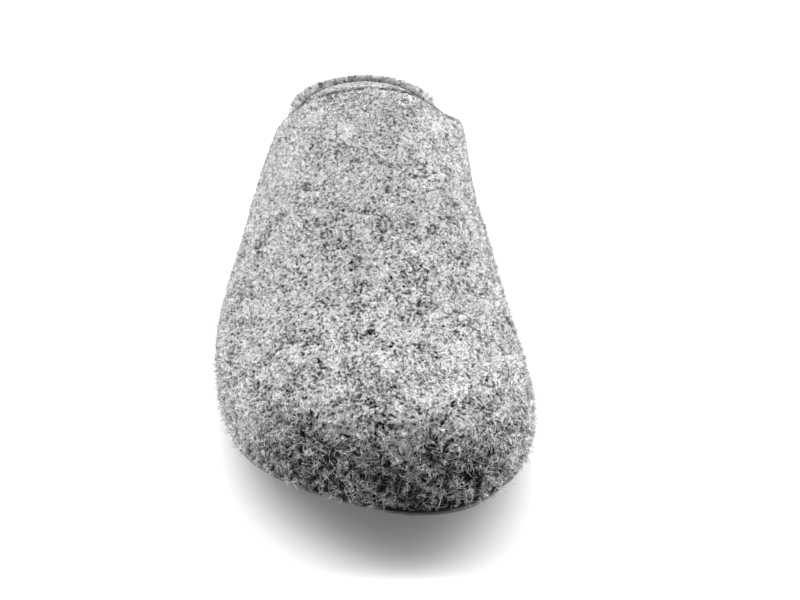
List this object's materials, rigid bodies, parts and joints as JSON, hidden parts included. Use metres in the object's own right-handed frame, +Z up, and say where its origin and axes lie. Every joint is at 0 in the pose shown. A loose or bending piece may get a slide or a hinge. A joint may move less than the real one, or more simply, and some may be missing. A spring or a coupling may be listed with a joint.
{
  "type": "felt mule slipper",
  "caption": "Open-back house slipper for the right foot: hollow grey felt upper with a low heel rim, felt footbed and a rubber sole with toe spring.",
  "frame": {"origin": "middle of the slipper's plan box, on the floor that the sole stands on", "axes": "+Z up, -Y towards the toe, +X towards the medial side of a right foot"},
  "size_m": [0.1064, 0.2758, 0.081],
  "materials": {
    "upper_felt": "thick heather-grey wool felt with a hairy nap",
    "footbed_felt": "light grey felt, flattened by wear",
    "sole_rubber": "matte dark grey moulded rubber"
  },
  "bodies": {
    "root": {"upper": "upper_felt", "insole": "footbed_felt", "outsole": "sole_rubber"}
  },
  "joints": []
}
